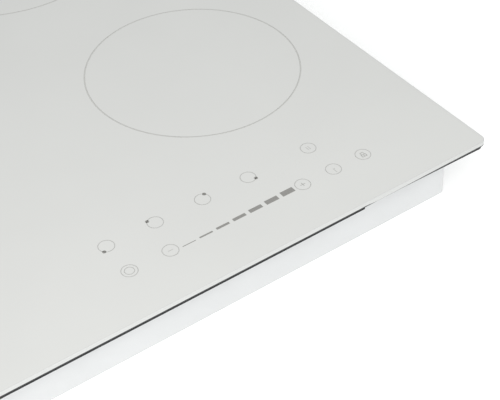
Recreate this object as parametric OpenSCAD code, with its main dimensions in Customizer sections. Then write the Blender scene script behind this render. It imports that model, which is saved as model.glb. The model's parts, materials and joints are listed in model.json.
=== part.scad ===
// Built-in induction cooktop: a white glass plate over a shallow sheet-steel housing.
// Frame: origin under the middle of the glass at the housing's base, X right, Y to the back, Z up.

/* [Glass] */
// Width of the glass, left to right
glass_w = 590; // [585:5:900]
// Depth of the glass, front to back
glass_d = 520; // [505:5:700]
// Thickness of the glass
glass_t = 4; // [3:0.5:6]
// Radius of the glass corners
glass_r = 5; // [3:0.5:12]
// Ground bevel round both faces of the glass
glass_bevel = 0.6; // [0.2:0.1:1.2]

/* [Housing] */
// How far the glass reaches past the housing on every side
rim_overhang = 16.5; // [15:1:30]
// Height from the base to the underside of the glass
housing_h = 43.7; // [40:0.1:60]
// Thickness of the housing sheet
sheet_t = 1; // [0.6:0.1:1.4]
// Radius of the housing's upright corners
housing_r = 4; // [3:0.5:10]
// Fold bevel round the base
base_bevel = 2.5; // [1.5:0.5:2.5]
// Gap between the top of the housing wall and the glass
wall_gap = 0.4; // [0.2:0.1:1]
// Width of the stiffening ribs pressed into the base
rib_w = 12; // [8:1:20]
// Depth of the stiffening ribs
rib_h = 1.5; // [1:0.1:2.5]

/* [Glass support] */
// Thickness of the silicone bead under the glass
bead_t = 0.8; // [0.5:0.1:1.2]
// Width of the silicone bead
bead_w = 8; // [5:0.5:10]
// Width of the support frame's flat web
web_w = 14; // [12:0.5:14]
// Depth of the support frame's upright leg
leg_h = 12; // [10:0.5:14]
// Thickness of the foam seal under the rim
seal_t = 3; // [2:0.5:4]
// Width of the foam seal
seal_w = 9; // [6:0.5:9]
// Distance of the foam seal from the edge of the glass
seal_inset = 1.5; // [1:0.5:4]

/* [Cooking zones] */
// Diameter of the front right zone
zone_fr = 145; // [110:5:150]
// Diameter of the rear right zone
zone_rr = 180; // [140:5:185]
// Diameter of the front left zone
zone_fl = 210; // [160:5:215]
// Diameter of the rear left zone
zone_rl = 145; // [110:5:150]
// Front right zone centre, from the right edge and the front edge of the glass
fr_from_edges = [104.8, 174.6];
// Rear right zone centre, from the right edge and the rear edge
rr_from_edges = [139.5, 124.6];
// Front left zone centre, from the left edge and the front edge
fl_from_edges = [145, 185];
// Rear left zone centre, from the left edge and the rear edge
rl_from_edges = [105, 112];

/* [Coils] */
// How much smaller a coil former is than its zone
former_inset = 8; // [6:1:16]
// Thickness of the copper winding
winding_t = 4.2; // [3:0.2:4.6]
// Radius of the hole in the middle of a winding
winding_hole_r = 20; // [18:1:24]
// Thickness of the former's plate
former_t = 1.5; // [1.2:0.1:2]
// Height of the former's bars and hub above the coil tray
former_h = 13.8; // [13:0.2:15]
// Ferrite bars under each coil
ferrite_count = 8; // [6:1:10]
// Width and thickness of a ferrite bar
ferrite_size = [6, 4.5];
// Thickness of the insulation sheet between coil and glass
insulation_t = 1; // [0.6:0.1:1.4]
// Radius of the temperature sensor's body
sensor_r = 6; // [4:0.5:7]

/* [Coil trays] */
// Thickness of a coil tray
tray_t = 1; // [0.8:0.1:1.5]
// Width of the left coil tray
tray_left_w = 232; // [225:1:236]
// Width of the right coil tray
tray_right_w = 212; // [205:1:216]
// Gap between a tray and the housing wall
tray_gap = 15; // [15:0.5:16]
// Radius of a tray post
post_r = 4; // [3:0.5:4]
// Length of the springs that press a tray up
tray_spring_h = 8; // [6:0.5:10]

/* [Power boards] */
// Size of a power board
board_size = [203, 210];
// Thickness of the circuit boards
board_t = 1.6; // [1:0.2:2]
// Height of a board's standoffs above the base sheet
standoff_h = 5; // [4:0.5:6]
// Size of a heatsink across the fins, along them and upwards
heatsink_size = [36, 170, 16];
// Fins on a heatsink
fin_count = 7; // [5:1:8]
// Power transistors on a heatsink
transistor_count = 4; // [2:1:5]

/* [Fans] */
// Side of a fan's square frame
fan_side = 92; // [80:1:94]
// Height of a fan's frame
fan_h = 18; // [16:0.5:20]
// Thickness of a fan frame's wall beside the impeller
fan_wall = 5; // [4:0.5:6]
// Gap between an impeller and its frame
impeller_gap = 3; // [1.5:0.5:4]
// Blades on an impeller
blade_count = 24; // [12:1:32]
// Radius of a fan's shaft
shaft_r = 1.5; // [1:0.1:2]
// Running clearance between shaft and hub, and between pin and lid
running_gap = 0.05; // [0.02:0.01:0.1]

/* [Controls] */
// Distance of the zone keys' row from the front edge of the glass
upper_row = 61.2; // [55:0.1:70]
// Distance of the slider's row from the front edge of the glass
lower_row = 35.8; // [35:0.1:44]
// Zone keys, from the right edge of the glass
zone_keys = [240.4, 207, 173.4, 140];
// Pause key, from the right edge of the glass
pause_key = 94; // [90:1:100]
// Power, minus, plus, timer and lock keys, from the right edge of the glass
lower_keys = [240.4, 212.8, 117.6, 94, 70.9];
// Middle of the slider's first field, from the right edge of the glass
slider_start = 201; // [198:0.1:204]
// Distance between slider fields
slider_pitch = 12; // [10:0.1:12]
// Fields on the slider
slider_count = 7; // [5:1:7]
// Radius of a touch spring
touch_r = 4; // [3:0.5:4.5]

/* [Clamps] */
// Distance of a clamp's pivot from the housing's side
pivot_inset = 15; // [13:0.5:16]
// Distance of the pivots from the housing's front and rear walls
pivot_from_end = 93; // [90:1:110]
// Reach of a clamp's arm from its pivot
arm_reach = 62; // [50:1:64]
// Width and thickness of a clamp's arm
arm_size = [12, 3];
// Radius of the clamp screws
clamp_screw_r = 2.5; // [2:0.5:3]

/* [Terminal box] */
// Depth of the box into the housing
box_d = 29; // [26:1:30]
// Height of the box
box_h = 22; // [20:0.5:22]
// Distance of the box from the housing's right wall
box_from_side = 32; // [30:1:50]
// Width of the hinged lid
lid_w = 90; // [76:1:100]
// Thickness of the hinged lid
lid_t = 2; // [1.6:0.2:2.4]
// Room in the box beside the lid for the cable bush
bush_room = 41; // [36:1:50]
// Radius of the hole in the cable bush
cable_r = 5; // [4:0.5:6]

/* [Hidden] */
$fn = 64;

housing_w = glass_w - 2 * rim_overhang;
housing_d = glass_d - 2 * rim_overhang;
inner_x = housing_w / 2 - sheet_t;
inner_y = housing_d / 2 - sheet_t;
wall_top = housing_h - wall_gap;
skin = 0.3;          // clearance between a piece and the wall it slides past
through = 20;        // overrun of a cutting tool

// Stack under the glass
bead_z = housing_h - bead_t;
frame_z = bead_z - sheet_t;
frame_x = inner_x - skin;
frame_y = inner_y - skin;
insulation_z = housing_h - insulation_t;
tray_top = insulation_z - former_h;
tray_z = tray_top - tray_t;
winding_z = insulation_z - 0.2 - winding_t;
plate_z = winding_z - former_t;
ferrite_z = plate_z - ferrite_size[1];

// Zones as [x, y, former radius]
zones = [
    [-glass_w / 2 + fl_from_edges[0], -glass_d / 2 + fl_from_edges[1], (zone_fl - former_inset) / 2],
    [-glass_w / 2 + rl_from_edges[0], glass_d / 2 - rl_from_edges[1], (zone_rl - former_inset) / 2],
    [glass_w / 2 - fr_from_edges[0], -glass_d / 2 + fr_from_edges[1], (zone_fr - former_inset) / 2],
    [glass_w / 2 - rr_from_edges[0], glass_d / 2 - rr_from_edges[1], (zone_rr - former_inset) / 2]
];
hub_r = 12;          // outer radius of a former's hub
hub_wall = 2;
rim_wall = 2;

// Coil trays: both run from behind the touch board to the rear
tray_front = -housing_d / 2 + 63;
tray_rear = inner_y - tray_gap - 1;
tray_side = inner_x - tray_gap;
post_inset = 6;
post_ys = [tray_front + 8, -housing_d / 2 + 313, tray_rear - 8];
left_post_xs = [-tray_side + post_inset, -tray_side + tray_left_w - post_inset];
right_post_xs = [tray_side - post_inset, tray_side - tray_right_w + post_inset];
pin_r = 1.5;

// Boards stand on standoffs pressed up out of the base
board_z = sheet_t + standoff_h;
board_top = board_z + board_t;
board_outer = inner_x - 29;
board_rear = -housing_d / 2 + 303;
standoff_r = 3;
standoff_inset = 6;
screw_r = 1.5;
filter_size = [98, 140];
filter_corner = [-board_outer, inner_y - 16 - filter_size[1]];

// Heatsinks line up with the fans' outlets
outlet_w = 36;
impeller_r = fan_side / 2 - fan_wall - impeller_gap;
fan_y = inner_y - box_d - 17 - fan_side / 2;
fan_left_x = -board_outer + filter_size[0] + 9 + fan_side / 2;
fan_right_x = board_outer - 122 - fan_side / 2;
outlet_offset = fan_side / 2 - outlet_w / 2 - 4;
heatsink_rear = board_rear - 2;
side_plate_t = 3;
fin_t = 1.4;
fan_floor = 1.2;

// Touch board under the keys
key_margin = 14;
touch_right = glass_w / 2 - lower_keys[4] + key_margin;
touch_left = glass_w / 2 - lower_keys[0] - key_margin;
touch_front = -frame_y + web_w + 1;
touch_d = -glass_d / 2 + upper_row + 10 - touch_front;
touch_spring_h = 7.8;
touch_z = housing_h - touch_spring_h - board_t;
carrier_t = 1.5;
carrier_rib = 1.5;

// Clamps lie in pockets in the base and swing out through the side wall
pivot_x = housing_w / 2 - pivot_inset;
pivot_y = housing_d / 2 - pivot_from_end;
pocket_h = 7.5;
pocket_clear = 1.5;
arm_z = 2.25;
tip_l = 10;
tip_h = 1.8;
head_t = 2;

// Terminal box against the rear wall, with the lid in a window of that wall
box_x = inner_x + sheet_t - box_from_side;
box_front = inner_y - box_d;
box_z = sheet_t + base_bevel - 0.5;
box_wall = 1.5;
lid_right = box_x - 5;
lid_left = lid_right - lid_w;
lid_h = box_h - 4;
box_w = lid_w + 5 + bush_room;
lid_axis_y = housing_d / 2 - 0.8;
lid_axis_z = box_z + box_h - 3;
ear_w = 3;
ear_gap = 0.3;
barrel_r = 1.5;
lid_pin_r = 0.75;
bush_x = box_x - box_w + 18;
bush_z = box_z + 11;

// A plate with rounded upright corners and a bevel round its lower and upper faces
module bevelled_plate(w, d, r, h, low, high) {
    for (along = [0, 1]) {
        long = along == 0 ? w : d;
        wide = along == 0 ? d : w;
        rotate([90, 0, along == 0 ? 90 : 0])
            translate([0, 0, -long / 2 + r])
                linear_extrude(long - 2 * r)
                    polygon([[-wide / 2 + low, 0], [wide / 2 - low, 0], [wide / 2, low],
                             [wide / 2, h - high], [wide / 2 - high, h], [-wide / 2 + high, h],
                             [-wide / 2, h - high], [-wide / 2, low]]);
    }
    for (x = [-1, 1], y = [-1, 1])
        translate([x * (w / 2 - r), y * (d / 2 - r), 0])
            rotate_extrude()
                polygon([[0, 0], [r - low, 0], [r, low], [r, h - high], [r - high, h], [0, h]]);
}

module rounded(w, d, r) {
    square([w - 2 * r, d], center = true);
    square([w, d - 2 * r], center = true);
    for (x = [-1, 1], y = [-1, 1])
        translate([x * (w / 2 - r), y * (d / 2 - r)])
            circle(r);
}

module ring_plate(w, d, r, wall, h) {
    linear_extrude(h)
        difference() {
            rounded(w, d, r);
            square([w - 2 * wall, d - 2 * wall], center = true);
        }
}

module tube(r_out, r_in, h) {
    linear_extrude(h)
        difference() {
            circle(r_out);
            circle(r_in);
        }
}

module block(x0, x1, y0, y1, z0, z1) {
    translate([x0, y0, z0])
        cube([x1 - x0, y1 - y0, z1 - z0]);
}

module slot_row(count, pitch, size) {
    for (i = [0:count - 1])
        translate([(i - (count - 1) / 2) * pitch - size[0] / 2, -size[1] / 2, -through / 2])
            cube([size[0], size[1], through]);
}

// Glass and what holds it

module glass_top() {
    color("whitesmoke")
        translate([0, 0, housing_h])
            bevelled_plate(glass_w, glass_d, glass_r, glass_t, glass_bevel, glass_bevel);
}

module glass_adhesive() {
    color("dimgray")
        translate([0, 0, bead_z])
            ring_plate(2 * frame_x - 4, 2 * frame_y - 4, 3, bead_w, bead_t);
}

module seal_tape() {
    color("darkgray")
        translate([0, 0, housing_h - seal_t])
            ring_plate(glass_w - 2 * seal_inset, glass_d - 2 * seal_inset,
                       max(glass_r - seal_inset, 1), seal_w, seal_t);
}

// Places of the screws through the housing's side and rear walls, each as [x, y, angle]
side_screw_ys = [-housing_d / 2 + 43, 0, housing_d / 2 - 43];
rear_screw_xs = [-150, 60];
wall_screws = concat([for (y = side_screw_ys) [housing_w / 2, y, 0]],
                     [for (y = side_screw_ys) [-housing_w / 2, y, 180]],
                     [for (x = rear_screw_xs) [x, housing_d / 2, 90]]);
wall_screw_z = frame_z - leg_h / 2;
wall_screw_r = 2;
wall_screw_l = 8;

module at_wall_screws() {
    for (s = wall_screws)
        translate([s[0], s[1], wall_screw_z])
            rotate([0, 0, s[2]])
                rotate([0, 90, 0])
                    children();
}

module support_frame() {
    color("silver")
        difference() {
            union() {
                translate([0, 0, frame_z])
                    ring_plate(2 * frame_x, 2 * frame_y, 2.5, web_w, sheet_t);
                translate([0, 0, frame_z - leg_h])
                    ring_plate(2 * frame_x, 2 * frame_y, 2.5, sheet_t, leg_h);
            }
            at_wall_screws()
                translate([0, 0, -through / 2])
                    cylinder(r = wall_screw_r + 0.02, h = through);
        }
}

module housing_screws() {
    color("silver")
        at_wall_screws() {
            translate([0, 0, -wall_screw_l])
                cylinder(r = wall_screw_r, h = wall_screw_l);
            difference() {
                cylinder(r1 = 3.8, r2 = 3, h = 2);
                translate([0, 0, 1])
                    for (turn = [0, 90])
                        rotate([0, 0, turn])
                            translate([-2, -0.4, 0])
                                cube([4, 0.8, 2]);
            }
        }
}

// Housing

module at_clamps() {
    for (x = [0, 1], y = [0, 1])
        mirror([x, 0, 0])
            mirror([0, y, 0])
                translate([pivot_x, pivot_y, 0])
                    children();
}

module pocket(wall) {
    inner = arm_size[0] / 2 + pocket_clear + wall;
    block(-inner, pivot_inset + through, -arm_reach - pocket_clear - wall, inner,
          -1, pocket_h + wall);
}

module at_standoffs() {
    for (side = [-1, 1])
        for (x = [board_outer - standoff_inset, board_outer - board_size[0] + standoff_inset])
            for (y = [board_rear - standoff_inset, board_rear - board_size[1] + standoff_inset])
                translate([side * x, y, 0])
                    children();
    for (x = [standoff_inset, filter_size[0] - standoff_inset])
        for (y = [standoff_inset, filter_size[1] - standoff_inset])
            translate([filter_corner[0] + x, filter_corner[1] + y, 0])
                children();
}

// Ribs run front to back under each power board
module at_ribs() {
    for (side = [-1, 1], shift = [-1, 1])
        translate([side * (board_outer - board_size[0] / 2) + shift * board_size[0] / 4,
                   board_rear - board_size[1] / 2, 0])
            children();
}

module rib(half, h) {
    reach = board_size[1] / 2 - 28;
    block(-half, half, -reach, reach, 0, h);
    for (end = [-1, 1])
        translate([0, end * reach, 0])
            cylinder(r = half, h = h);
}

module housing() {
    cavity_bevel = base_bevel - sheet_t * 0.586;
    color("white")
        difference() {
            union() {
                difference() {
                    bevelled_plate(housing_w, housing_d, housing_r, wall_top, base_bevel, 0);
                    translate([0, 0, sheet_t])
                        bevelled_plate(2 * inner_x, 2 * inner_y, housing_r - sheet_t, housing_h,
                                       cavity_bevel, 0);
                }
                intersection() {
                    block(-inner_x - sheet_t / 2, inner_x + sheet_t / 2, -inner_y, inner_y,
                          sheet_t / 2, wall_top);
                    at_clamps()
                        pocket(sheet_t);
                }
                at_clamps()
                    translate([0, 0, pocket_h])
                        cylinder(r = 5, h = sheet_t + 3);
                at_standoffs()
                    translate([0, 0, sheet_t / 2])
                        cylinder(r1 = standoff_r + 2, r2 = standoff_r, h = standoff_h + sheet_t / 2);
                at_ribs()
                    translate([0, 0, sheet_t / 2])
                        rib(rib_w / 2 + sheet_t, rib_h + sheet_t / 2);
            }
            at_clamps() {
                pocket(0);
                cylinder(r = clamp_screw_r + 0.02, h = through);
            }
            at_ribs()
                translate([0, 0, -1])
                    rib(rib_w / 2, rib_h + 1);
            at_standoffs()
                translate([0, 0, sheet_t + 0.5])
                    cylinder(r = screw_r + 0.02, h = through);
            at_wall_screws()
                translate([0, 0, -sheet_t - 1])
                    cylinder(r = wall_screw_r + 0.15, h = sheet_t + 2);
            for (x = [fan_left_x, fan_right_x])
                translate([x, fan_y, 0])
                    slot_row(9, 7, [3.5, 56]);
            for (x = [-190, -70, 70, 190])
                translate([x, -housing_d / 2 + 38, 0])
                    slot_row(10, 8, [4, 34]);
            for (x = [-210, -20])
                translate([x, housing_d / 2, 21])
                    rotate([90, 0, 0])
                        slot_row(10, 7, [3.5, 20]);
            block(lid_left - ear_w - 2 * ear_gap - 0.2, lid_right + ear_w + 2 * ear_gap + 0.2,
                  inner_y - 1, housing_d / 2 + 1, lid_axis_z - lid_h - 0.8,
                  lid_axis_z + barrel_r + 0.8);
            translate([bush_x, inner_y - 1, bush_z])
                rotate([-90, 0, 0])
                    cylinder(r = cable_r + 2, h = sheet_t + 2);
        }
}

// Mains terminal

module cable_bush() {
    color("black")
        translate([bush_x, inner_y, bush_z])
            rotate([-90, 0, 0])
                difference() {
                    union() {
                        cylinder(r = cable_r + 2 - 0.05, h = sheet_t);
                        translate([0, 0, -3])
                            cylinder(r = cable_r + 4, h = 3);
                        translate([0, 0, sheet_t])
                            cylinder(r1 = cable_r + 4, r2 = cable_r + 3, h = 3);
                    }
                    translate([0, 0, -through / 2])
                        cylinder(r = cable_r, h = through);
                }
}

module ear(x) {
    translate([x, lid_axis_y, lid_axis_z])
        rotate([0, 90, 0])
            cylinder(r = barrel_r, h = ear_w);
    block(x, x + ear_w, box_front + box_d - 2, lid_axis_y, lid_axis_z - barrel_r,
          lid_axis_z + barrel_r);
}

module terminal_box() {
    top = box_z + box_h;
    left = box_x - box_w;
    color("gainsboro")
        difference() {
            union() {
                difference() {
                    block(left, box_x, box_front, inner_y, box_z, top);
                    block(left + box_wall, box_x - box_wall, box_front + box_wall, inner_y + 1,
                          box_z + box_wall, top - box_wall);
                }
                for (x = [left + 10, box_x - 20])
                    block(x, x + 10, box_front + 4, box_front + 14, sheet_t, box_z + 0.5);
                ear(lid_left - ear_gap - ear_w);
                ear(lid_right + ear_gap);
                for (x = [lid_left - ear_gap - ear_w, lid_right + ear_gap])
                    block(x, x + ear_w, inner_y - 4, inner_y - 0.6, lid_axis_z - 1, top - 1);
            }
            translate([lid_left - through, lid_axis_y, lid_axis_z])
                rotate([0, 90, 0])
                    cylinder(r = lid_pin_r + 0.01, h = lid_w + 2 * through);
            translate([0, lid_axis_y, lid_axis_z])
                rotate([0, 90, 0])
                    translate([0, 0, lid_left - ear_gap])
                        cylinder(r = barrel_r + 0.4, h = lid_w + 2 * ear_gap);
            block(lid_left - ear_gap, lid_right + ear_gap, lid_axis_y - lid_t / 2 - 0.2,
                  housing_d / 2, lid_axis_z - lid_h - 0.4, lid_axis_z);
        }
}

module terminal_lid() {
    color("gainsboro")
        difference() {
            union() {
                translate([lid_left, lid_axis_y, lid_axis_z])
                    rotate([0, 90, 0])
                        cylinder(r = barrel_r, h = lid_w);
                block(lid_left, lid_right, lid_axis_y - lid_t / 2, lid_axis_y + lid_t / 2,
                      lid_axis_z - lid_h, lid_axis_z);
                block((lid_left + lid_right) / 2 - 10, (lid_left + lid_right) / 2 + 10,
                      lid_axis_y, lid_axis_y + lid_t / 2 + 1.2,
                      lid_axis_z - lid_h + 1, lid_axis_z - lid_h + 3);
            }
            translate([lid_left - 1, lid_axis_y, lid_axis_z])
                rotate([0, 90, 0])
                    cylinder(r = lid_pin_r + running_gap, h = lid_w + 2);
        }
}

module lid_pin() {
    color("silver")
        translate([lid_left - ear_gap - ear_w, lid_axis_y, lid_axis_z])
            rotate([0, 90, 0])
                cylinder(r = lid_pin_r, h = lid_w + 2 * (ear_gap + ear_w));
}

terminal_count = 5;
terminal_pitch = 12;
terminal_h = 14;
terminal_screw_z = 9;
terminal_x = lid_left + 10;
terminal_y = box_front + box_wall;

module terminal_block() {
    color("ivory")
        difference() {
            block(terminal_x, terminal_x + terminal_count * terminal_pitch, terminal_y,
                  terminal_y + 14, box_z + box_wall, box_z + box_wall + terminal_h);
            for (i = [0:terminal_count - 1])
                translate([terminal_x + (i + 0.5) * terminal_pitch, terminal_y + 4,
                           box_z + box_wall + terminal_screw_z])
                    rotate([-90, 0, 0])
                        cylinder(r = 2.52, h = through);
            for (i = [1:terminal_count - 1])
                block(terminal_x + i * terminal_pitch - 0.75, terminal_x + i * terminal_pitch + 0.75,
                      terminal_y + 10, terminal_y + 15, 0, wall_top);
        }
}

module terminal_screws() {
    color("gold")
        for (i = [0:terminal_count - 1])
            translate([terminal_x + (i + 0.5) * terminal_pitch, terminal_y + 4,
                       box_z + box_wall + terminal_screw_z])
                rotate([-90, 0, 0])
                    difference() {
                        cylinder(r = 2.5, h = 9);
                        translate([-3, -0.4, 8])
                            cube([6, 0.8, 2]);
                    }
}

// Coils

module coil_former(zone) {
    rib = 1.5;
    color("dimgray")
        translate([zone[0], zone[1], 0]) {
            translate([0, 0, plate_z])
                tube(zone[2], hub_r - hub_wall, former_t);
            translate([0, 0, tray_top])
                tube(zone[2], zone[2] - rim_wall, former_h);
            translate([0, 0, tray_top])
                tube(hub_r, hub_r - hub_wall, former_h);
            for (i = [0:ferrite_count - 1])
                rotate([0, 0, i * 360 / ferrite_count])
                    for (side = [-1, 1])
                        block(hub_r - 0.5, zone[2] - 1, side * (ferrite_size[0] / 2 + rib / 2 + 0.1) - rib / 2,
                              side * (ferrite_size[0] / 2 + rib / 2 + 0.1) + rib / 2, tray_top,
                              plate_z + 0.5);
        }
}

module winding(zone) {
    color("peru")
        translate([zone[0], zone[1], winding_z])
            tube(zone[2] - rim_wall - 1, winding_hole_r, winding_t);
}

module ferrites(zone) {
    color("darkslategray")
        translate([zone[0], zone[1], 0])
            for (i = [0:ferrite_count - 1])
                rotate([0, 0, i * 360 / ferrite_count])
                    block(hub_r + 6, zone[2] - rim_wall - 3, -ferrite_size[0] / 2,
                          ferrite_size[0] / 2, ferrite_z, plate_z);
}

module insulation(zone) {
    color("lightgray")
        translate([zone[0], zone[1], insulation_z])
            tube(zone[2] - 0.5, sensor_r + 1, insulation_t);
}

module zone_sensors() {
    color("ivory")
        for (zone = zones)
            translate([zone[0], zone[1], 0]) {
                translate([0, 0, tray_top])
                    cylinder(r = sensor_r, h = housing_h - tray_top);
                translate([0, 0, tray_top])
                    cylinder(r = hub_r - hub_wall - 0.3, h = 3);
            }
}

module tray(x0, x1, post_xs, holes) {
    color("lightsteelblue")
        translate([0, 0, tray_z])
            linear_extrude(tray_t)
                difference() {
                    translate([x0, tray_front])
                        square([x1 - x0, tray_rear - tray_front]);
                    for (x = post_xs, y = post_ys)
                        translate([x, y])
                            circle(pin_r + 0.2);
                    for (zone = holes) {
                        translate([zone[0], zone[1]])
                            circle(3);
                        translate([zone[0], zone[1]])
                            rotate([0, 0, lead_angle])
                                translate([zone[2] + lead_out, 0])
                                    circle(lead_r + 1.2);
                    }
                }
}

// Coil leads leave a winding at its rim and drop through the tray
lead_r = 1.6;
lead_out = 5;
lead_angle = -45;
lead_drop = 6;

module coil_leads() {
    color("brown")
        for (zone = zones)
            translate([zone[0], zone[1], 0])
                rotate([0, 0, lead_angle])
                    translate([zone[2] + lead_out, 0, tray_z - lead_drop]) {
                        cylinder(r = lead_r, h = insulation_z - 2 - tray_z + lead_drop);
                        translate([0, 0, insulation_z - 2 - tray_z + lead_drop])
                            sphere(r = lead_r);
                    }
}

module tray_posts() {
    shoulder = tray_z - tray_spring_h;
    color("silver")
        for (x = concat(left_post_xs, right_post_xs), y = post_ys)
            translate([x, y, sheet_t]) {
                cylinder(r = post_r, h = shoulder - sheet_t);
                cylinder(r = pin_r, h = tray_top + 2 - sheet_t);
            }
}

module tray_springs() {
    color("gray")
        for (x = concat(left_post_xs, right_post_xs), y = post_ys)
            translate([x, y, tray_z - tray_spring_h])
                tube(pin_r + 1.3, pin_r + 0.3, tray_spring_h);
}

// Power electronics

module board(x0, y0, size) {
    color("darkgreen")
        difference() {
            block(x0, x0 + size[0], y0, y0 + size[1], board_z, board_top);
            at_standoffs()
                translate([0, 0, board_z - 1])
                    cylinder(r = screw_r + 0.2, h = board_t + 2);
        }
}

module power_board_left() {
    board(-board_outer, board_rear - board_size[1], board_size);
}

module power_board_right() {
    board(board_outer - board_size[0], board_rear - board_size[1], board_size);
}

module filter_board() {
    board(filter_corner[0], filter_corner[1], filter_size);
}

module board_screws() {
    color("silver")
        at_standoffs() {
            translate([0, 0, board_top - 5])
                cylinder(r = screw_r, h = 5);
            translate([0, 0, board_top])
                cylinder(r1 = 2.8, r2 = 2.2, h = 1.6);
        }
}

heatsink_left_x = fan_left_x - outlet_offset;
heatsink_right_x = fan_right_x + outlet_offset;

module heatsink(x, inward) {
    half = heatsink_size[0] / 2;
    pitch = (heatsink_size[0] - side_plate_t) / fin_count;
    color("silver")
        translate([x, heatsink_rear - heatsink_size[1], board_top])
            mirror([inward, 0, 0]) {
                block(-half, half, 0, heatsink_size[1], 0, 3);
                block(-half, -half + side_plate_t, 0, heatsink_size[1], 0, heatsink_size[2]);
                for (i = [1:fin_count])
                    block(-half + side_plate_t + i * pitch - fin_t, -half + side_plate_t + i * pitch,
                          0, heatsink_size[1], 2, heatsink_size[2]);
            }
}

transistor_size = [4.8, 15.5, 15];

module transistors() {
    pitch = heatsink_size[1] / transistor_count;
    color("black")
        for (i = [0:transistor_count - 1]) {
            y = heatsink_rear - heatsink_size[1] + (i + 0.5) * pitch - transistor_size[1] / 2;
            translate([heatsink_left_x - heatsink_size[0] / 2 - transistor_size[0], y, board_top])
                cube(transistor_size);
            translate([heatsink_right_x + heatsink_size[0] / 2, y, board_top])
                cube(transistor_size);
        }
}

// Parts on the power boards stand between the transistors and a board's outer edge
part_row = 40;

module capacitors() {
    color("steelblue")
        for (side = [-1, 1], i = [0:3])
            translate([side * (board_outer - 14 - 13) - 13, board_rear - 40 - i * part_row, board_top])
                difference() {
                    cube([26, 14, 15]);
                    translate([-1, -1, 14])
                        cube([2, 16, 2]);
                }
}

module chokes() {
    color("darkgoldenrod")
        for (side = [-1, 1], i = [0:2])
            translate([side * (board_outer - 62), board_rear - 40 - i * 50, board_top + 6])
                rotate_extrude()
                    translate([10, 0])
                        circle(4.5);
}

module filter_parts() {
    color("goldenrod")
        translate([filter_corner[0], filter_corner[1], board_top]) {
            block(14, 40, 12, 30, 0, 14);
            block(14, 40, 36, 54, 0, 14);
            block(52, 84, 12, 40, 0, 12);
            block(14, 34, 100, 126, 0, 15);
            block(42, 62, 100, 126, 0, 15);
            translate([48, 76, 7])
                rotate_extrude()
                    translate([12, 0])
                        circle(5);
        }
}

// Fans

module fan_frame(x, turned) {
    half = fan_side / 2;
    color("black")
        translate([x, fan_y, sheet_t])
            mirror([turned, 0, 0]) {
                difference() {
                    block(-half, half, -half, half, 0, fan_h);
                    translate([0, 0, fan_floor])
                        cylinder(r = impeller_r + impeller_gap, h = fan_h);
                    block(-outlet_offset - outlet_w / 2 + 2, -outlet_offset + outlet_w / 2 - 2,
                          -half - 1, -half / 3, fan_floor, fan_h - 1);
                    translate([0, 0, -1])
                        cylinder(r = impeller_r - 8, h = fan_h);
                    for (cx = [-1, 1], cy = [-1, 1])
                        translate([cx * (half - 5), cy * (half - 5), -1])
                            cylinder(r = 2.2, h = fan_h + 2);
                }
                for (turn = [30, 150, 270])
                    rotate([0, 0, turn])
                        block(8, impeller_r - 6, -2, 2, 0, fan_floor);
                cylinder(r = 11, h = 3);
                cylinder(r = shaft_r, h = fan_h - 3);
            }
}

module fan_impeller(x) {
    hub_z = 4;
    hub_h = fan_h - hub_z - 2;
    color("dimgray")
        translate([x, fan_y, sheet_t + hub_z])
            difference() {
                union() {
                    cylinder(r = 13, h = hub_h);
                    translate([0, 0, hub_h - 1.2])
                        cylinder(r = impeller_r, h = 1.2);
                    for (i = [0:blade_count - 1])
                        rotate([0, 0, i * 360 / blade_count])
                            translate([impeller_r - 10, -0.6, 0])
                                rotate([0, 0, 12])
                                    cube([9, 1.2, hub_h - 0.6]);
                }
                translate([0, 0, -1])
                    cylinder(r = shaft_r + running_gap, h = fan_h + 2);
            }
}

module duct(x) {
    front = board_rear + 1;
    rear = fan_y - fan_side / 2;
    translate([x, 0, sheet_t])
        difference() {
            block(-outlet_w / 2 - 2, outlet_w / 2 + 2, front, rear, 0, fan_h);
            block(-outlet_w / 2 + 1, outlet_w / 2 - 1, front - 1, rear + 1, 1.2, fan_h - 1.2);
        }
}

module air_ducts() {
    color("dimgray") {
        duct(heatsink_left_x);
        duct(heatsink_right_x);
    }
}

// Touch controls

key_points = concat(
    [for (k = zone_keys) [glass_w / 2 - k, -glass_d / 2 + upper_row]],
    [[glass_w / 2 - pause_key, -glass_d / 2 + upper_row]],
    [for (k = lower_keys) [glass_w / 2 - k, -glass_d / 2 + lower_row]],
    [for (i = [0:slider_count - 1])
        [glass_w / 2 - slider_start + i * slider_pitch, -glass_d / 2 + lower_row]]);

module touch_carrier() {
    leg_r = 4;
    deck = touch_z - carrier_rib - carrier_t;
    color("gray")
        difference() {
            union() {
                block(touch_left - 3, touch_right + 3, touch_front, touch_front + touch_d + 3,
                      deck, deck + carrier_t);
                for (x = [touch_left, (touch_left + touch_right) / 2, touch_right - 2])
                    block(x, x + 2, touch_front, touch_front + touch_d, deck, touch_z);
                for (x = [touch_left + 8, (touch_left + touch_right) / 2 + 8, touch_right - 8])
                    for (y = [touch_front + 6, touch_front + touch_d - 6])
                        translate([x, y, sheet_t])
                            cylinder(r = leg_r, h = deck - sheet_t);
            }
        }
}

module touch_board() {
    color("darkgreen")
        block(touch_left, touch_right, touch_front, touch_front + touch_d, touch_z, touch_z + board_t);
    color("black")
        block(touch_right - 23, touch_right - 9, touch_front + 20, touch_front + 34,
              touch_z + board_t - 0.1, touch_z + board_t + 1.5);
}

module touch_springs() {
    color("silver")
        for (p = key_points)
            translate([p[0], p[1], touch_z + board_t])
                tube(touch_r, touch_r - 0.8, touch_spring_h);
}

light_size = [3, 2, 2];

module touch_lights() {
    color("white")
        for (p = key_points)
            translate([p[0] - light_size[0] / 2, p[1] - light_size[1] / 2, touch_z + board_t])
                cube(light_size);
}

module buzzer() {
    color("black")
        translate([touch_left + 95, touch_front + touch_d - 10, touch_z + board_t])
            difference() {
                cylinder(r = 4.5, h = 5);
                translate([0, 0, 4])
                    cylinder(r = 0.8, h = 2);
            }
}

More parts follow.
